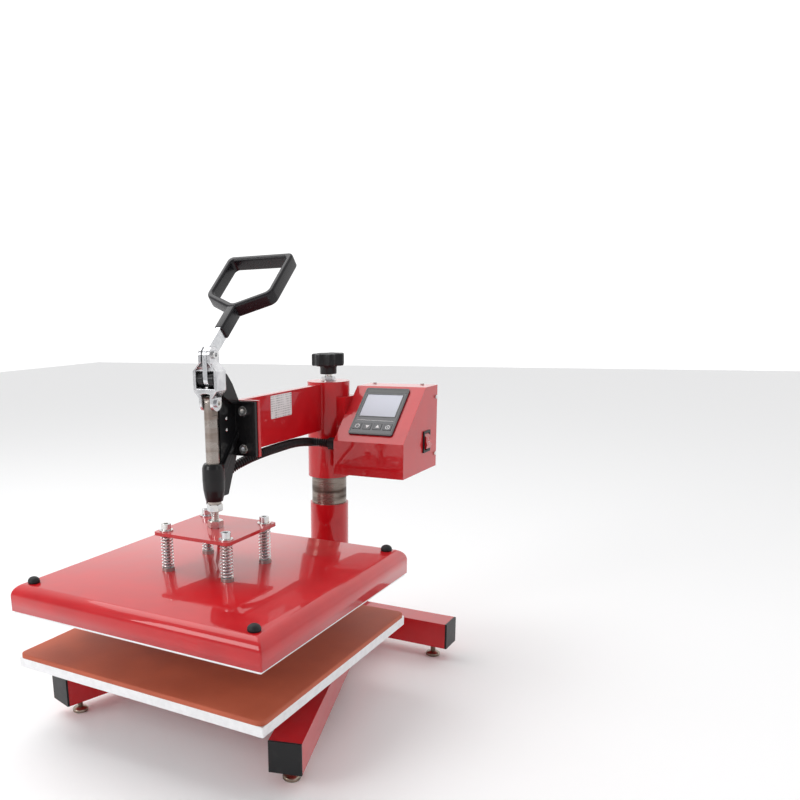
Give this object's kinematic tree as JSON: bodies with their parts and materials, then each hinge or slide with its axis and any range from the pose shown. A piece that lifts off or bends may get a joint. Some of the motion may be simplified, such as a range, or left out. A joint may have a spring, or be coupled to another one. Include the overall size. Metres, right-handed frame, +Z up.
{
  "type": "swing-away heat press",
  "caption": "Swing-away heat press: square heated head on a toggle-lever arm that turns on a column over a padded lower board, with a control box.",
  "frame": {"origin": "on the floor, in the middle of the machine's footprint with the head over the board", "axes": "+X to the operator's right, +Y back to the column, +Z up"},
  "size_m": [0.428, 0.5824, 0.6161],
  "materials": {
    "red_enamel": "glossy red stove enamel over sheet and tube steel",
    "black_plastic": "moulded black plastic, satin",
    "black_rubber": "black dipped and moulded rubber, slight sheen",
    "zinc_steel": "bright zinc-plated steel",
    "platen_aluminium": "milled aluminium plate",
    "silicone": "orange-red silicone sponge, fine fabric texture",
    "bare_steel": "turned bare steel with a film of grease",
    "black_casting": "sand casting in semi-gloss black paint",
    "plated_lever": "zinc-plated steel strip",
    "polished_alloy": "polished cast aluminium",
    "spring_steel": "nickel-plated spring wire",
    "seat_rings": "grey steel spacer rings",
    "mineral_wool": "pressed ceramic fibre",
    "panel_plastic": "dark grey panel film on plastic",
    "display_window": "switched-off grey display window",
    "red_rocker": "gloss red plastic"
  },
  "bodies": {
    "base": {"base_rear_bar": "red_enamel", "base_leg_left": "red_enamel", "base_leg_right": "red_enamel", "tube_end_caps": "black_plastic", "foot_nuts": "zinc_steel", "board_carrier": "red_enamel", "board_standoffs": "zinc_steel", "lower_platen": "platen_aluminium", "silicone_pad": "silicone", "column_base_plate": "red_enamel", "column_lower_tube": "red_enamel", "column_shaft": "bare_steel"},
    "turret": {"thrust_washer": "bare_steel"},
    "height_screw": {"height_screw": "zinc_steel", "height_knob": "black_plastic"},
    "arm_head": {"arm_sleeve": "red_enamel", "height_washer": "zinc_steel", "height_lock_nut": "zinc_steel", "arm_plate": "red_enamel", "arm_end_plate": "red_enamel", "toggle_casting": "black_casting", "casting_bolts": "zinc_steel", "lever_pivot_pin": "zinc_steel", "control_box": "red_enamel", "control_box_back": "red_enamel", "box_screws": "zinc_steel", "box_bracket": "red_enamel", "controller_bezel": "panel_plastic", "controller_window": "display_window", "rocker_frame": "black_plastic", "hose": "black_plastic", "head_lead": "black_plastic", "hose_gland": "black_plastic", "cord_inlet": "black_plastic"},
    "handle": {"lever_plates": "plated_lever", "handle_grip": "black_rubber", "link_upper_pin": "zinc_steel"},
    "link": {"link_yoke": "polished_alloy", "link_lower_pins": "zinc_steel"},
    "plunger": {"plunger_rod": "bare_steel", "plunger_stud": "zinc_steel", "plunger_nuts": "zinc_steel", "spring_plate": "red_enamel", "head_springs": "spring_steel"},
    "heated_head": {"heat_platen": "platen_aluminium", "insulation_blanket": "mineral_wool", "upper_cover": "red_enamel", "cover_domes": "black_rubber", "spring_collars": "seat_rings", "head_bolts": "zinc_steel", "head_bolt_washers": "zinc_steel"},
    "rocker": {"rocker_key": "red_rocker"},
    "foot_front_left": {"foot_front_left": "zinc_steel"},
    "foot_front_right": {"foot_front_right": "zinc_steel"},
    "foot_rear_left": {"foot_rear_left": "zinc_steel"},
    "foot_rear_right": {"foot_rear_right": "zinc_steel"},
    "button_1": {"button_1": "panel_plastic"},
    "button_2": {"button_2": "panel_plastic"},
    "button_3": {"button_3": "panel_plastic"},
    "button_4": {"button_4": "panel_plastic"}
  },
  "joints": [
    {"name": "head_swing", "type": "hinge", "parent": "base", "child": "turret", "pos_m": [0, 0.22125, 0.398], "axis": [0, 0, 1], "range_deg": [-180, 180]},
    {"name": "height_knob_turn", "type": "hinge", "parent": "turret", "child": "height_screw", "pos_m": [0, 0.22125, 0.44], "axis": [0, 0, -1], "range_deg": [0, 720]},
    {"name": "height_slide", "type": "slide", "parent": "turret", "child": "arm_head", "axis": [0, 0, 1], "range_m": [0, 0.0035]},
    {"name": "handle_turn", "type": "hinge", "parent": "arm_head", "child": "handle", "pos_m": [0, -0.09875, 0.46], "axis": [1, 0, 0], "range_deg": [0, 180]},
    {"name": "link_turn", "type": "hinge", "parent": "handle", "child": "link", "pos_m": [0, -0.09875, 0.4905], "axis": [1, 0, 0], "range_deg": [-180, 0]},
    {"name": "plunger_slide", "type": "slide", "parent": "arm_head", "child": "plunger", "axis": [0, 0, -1], "range_m": [0, 0.061], "deforming": ["head_lead"]},
    {"name": "head_float", "type": "slide", "parent": "plunger", "child": "heated_head", "axis": [0, 0, 1], "range_m": [0, 0.0055], "deforming": ["head_springs"]},
    {"name": "foot_front_left_turn", "type": "hinge", "parent": "base", "child": "foot_front_left", "pos_m": [-0.17386, -0.20392, 0.02], "axis": [0, 0, 1], "range_deg": [-720, 720]},
    {"name": "foot_front_right_turn", "type": "hinge", "parent": "base", "child": "foot_front_right", "pos_m": [0.17386, -0.20392, 0.02], "axis": [0, 0, 1], "range_deg": [-720, 720]},
    {"name": "foot_rear_left_turn", "type": "hinge", "parent": "base", "child": "foot_rear_left", "pos_m": [-0.185, 0.22125, 0.02], "axis": [0, 0, 1], "range_deg": [-720, 720]},
    {"name": "foot_rear_right_turn", "type": "hinge", "parent": "base", "child": "foot_rear_right", "pos_m": [0.185, 0.22125, 0.02], "axis": [0, 0, 1], "range_deg": [-720, 720]},
    {"name": "button_1_press", "type": "slide", "parent": "arm_head", "child": "button_1", "axis": [0, 0.6753, -0.7375], "range_m": [0, 0.0008], "stiffness_N_per_m": 600},
    {"name": "button_2_press", "type": "slide", "parent": "arm_head", "child": "button_2", "axis": [0, 0.6753, -0.7375], "range_m": [0, 0.0008], "stiffness_N_per_m": 600},
    {"name": "button_3_press", "type": "slide", "parent": "arm_head", "child": "button_3", "axis": [0, 0.6753, -0.7375], "range_m": [0, 0.0008], "stiffness_N_per_m": 600},
    {"name": "button_4_press", "type": "slide", "parent": "arm_head", "child": "button_4", "axis": [0, 0.6753, -0.7375], "range_m": [0, 0.0008], "stiffness_N_per_m": 600},
    {"name": "rocker_tilt", "type": "hinge", "parent": "arm_head", "child": "rocker", "pos_m": [0.1515, 0.24825, 0.338], "axis": [0, 1, 0], "range_deg": [0, 20]}
  ],
  "couplings": [
    {"joint": "height_knob_turn", "follows": "height_slide", "rad_per_m": 3590.4},
    {"joint": "link_turn", "follows": "handle_turn", "ratio": -1},
    {"joint": "plunger_slide", "follows": "handle_turn", "m_per_rad": 0.019416},
    {"joint": "head_float", "follows": "handle_turn", "m_per_rad": 0.0017506}
  ]
}
